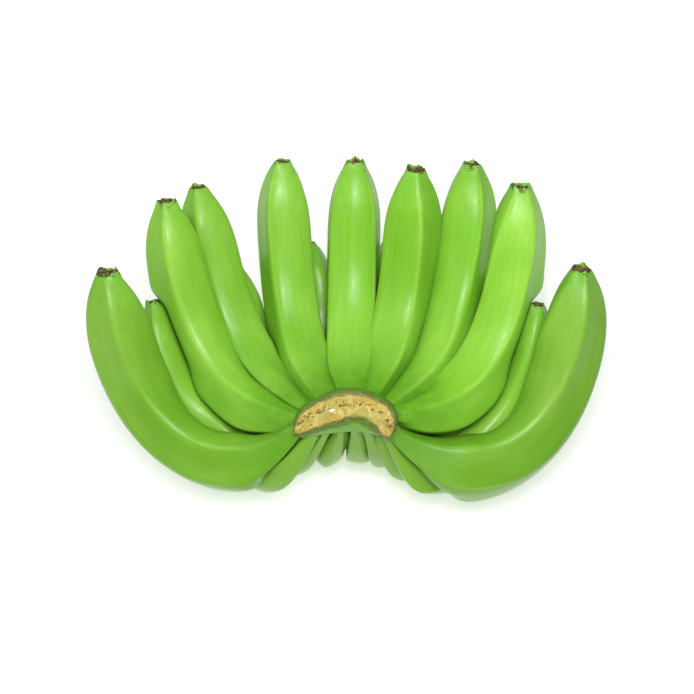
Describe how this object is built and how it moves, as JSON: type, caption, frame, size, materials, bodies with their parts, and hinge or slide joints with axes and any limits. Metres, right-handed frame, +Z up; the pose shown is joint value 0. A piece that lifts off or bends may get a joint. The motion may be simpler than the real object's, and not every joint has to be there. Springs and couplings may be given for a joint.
{
  "type": "banana hand",
  "caption": "Hand of unripe green bananas cut from the plant: curved five-sided fruit in two rows joined by their short stems to a crescent crown with a pale cut face, lying on its back.",
  "frame": {"origin": "on the surface that the hand lies on, under the middle of its bounding box", "axes": "+X across the hand from its first fruit to its last, +Y from the crown towards the outside of the hand's curve, +Z up"},
  "size_m": [0.3188, 0.2114, 0.1418],
  "materials": {
    "peel": "bright green peel with a waxy satin sheen, paler along the ridges",
    "crown": "green fibrous crown, satin, duller and darker than the fruit",
    "cut_face": "dried pale yellow cut flesh with brown vessel marks, matte",
    "blossom_end": "dried dark brown blossom scar, rough and matte"
  },
  "bodies": {
    "root": {"crown": "crown", "banana_upper_1": "peel", "banana_upper_2": "peel", "banana_upper_3": "peel", "banana_upper_4": "peel", "banana_upper_5": "peel", "banana_upper_6": "peel", "banana_upper_7": "peel", "banana_upper_8": "peel", "banana_upper_9": "peel", "banana_lower_1": "peel", "banana_lower_2": "peel", "banana_lower_3": "peel", "banana_lower_4": "peel", "banana_lower_5": "peel", "banana_lower_6": "peel", "banana_lower_7": "peel"}
  },
  "joints": []
}
